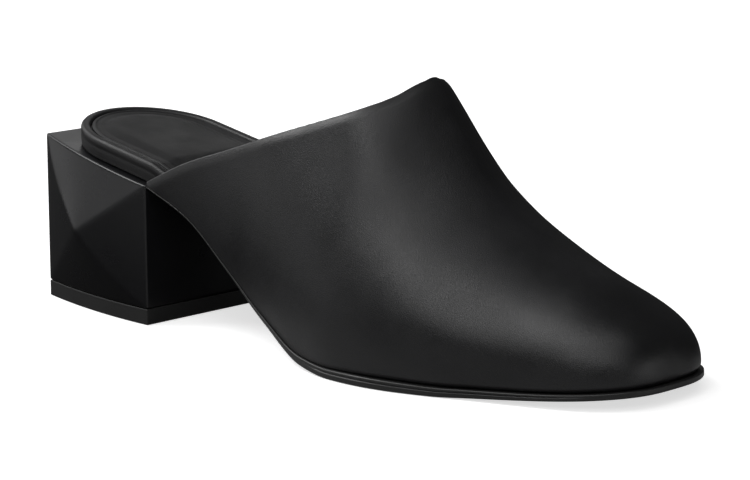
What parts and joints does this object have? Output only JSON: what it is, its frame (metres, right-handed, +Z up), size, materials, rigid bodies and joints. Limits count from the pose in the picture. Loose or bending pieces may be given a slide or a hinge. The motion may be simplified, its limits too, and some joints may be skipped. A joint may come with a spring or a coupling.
{
  "type": "heeled mule",
  "caption": "Closed-toe slip-on mule in smooth black leather with an open back, a squared round toe, a rolled heel rim and a faceted block heel",
  "frame": {"origin": "centre of the heel's face on the floor", "axes": "+X towards the toe, +Y towards the inner side of the foot, +Z up"},
  "size_m": [0.2605, 0.0946, 0.0915],
  "materials": {
    "black_calf": "smooth satin black calf",
    "sole_leather": "black inked and waxed sole edge",
    "wrapped_leather": "soft black lining leather, wrapped over the board",
    "sock_leather": "soft black lining leather over thin padding",
    "heel_lacquer": "satin black lacquer on a moulded block",
    "lift_rubber": "matte black rubber"
  },
  "bodies": {
    "root": {"upper": "black_calf", "outsole": "sole_leather", "footbed": "wrapped_leather", "sock_lining": "sock_leather", "heel_block": "heel_lacquer", "top_lift": "lift_rubber"}
  },
  "joints": []
}
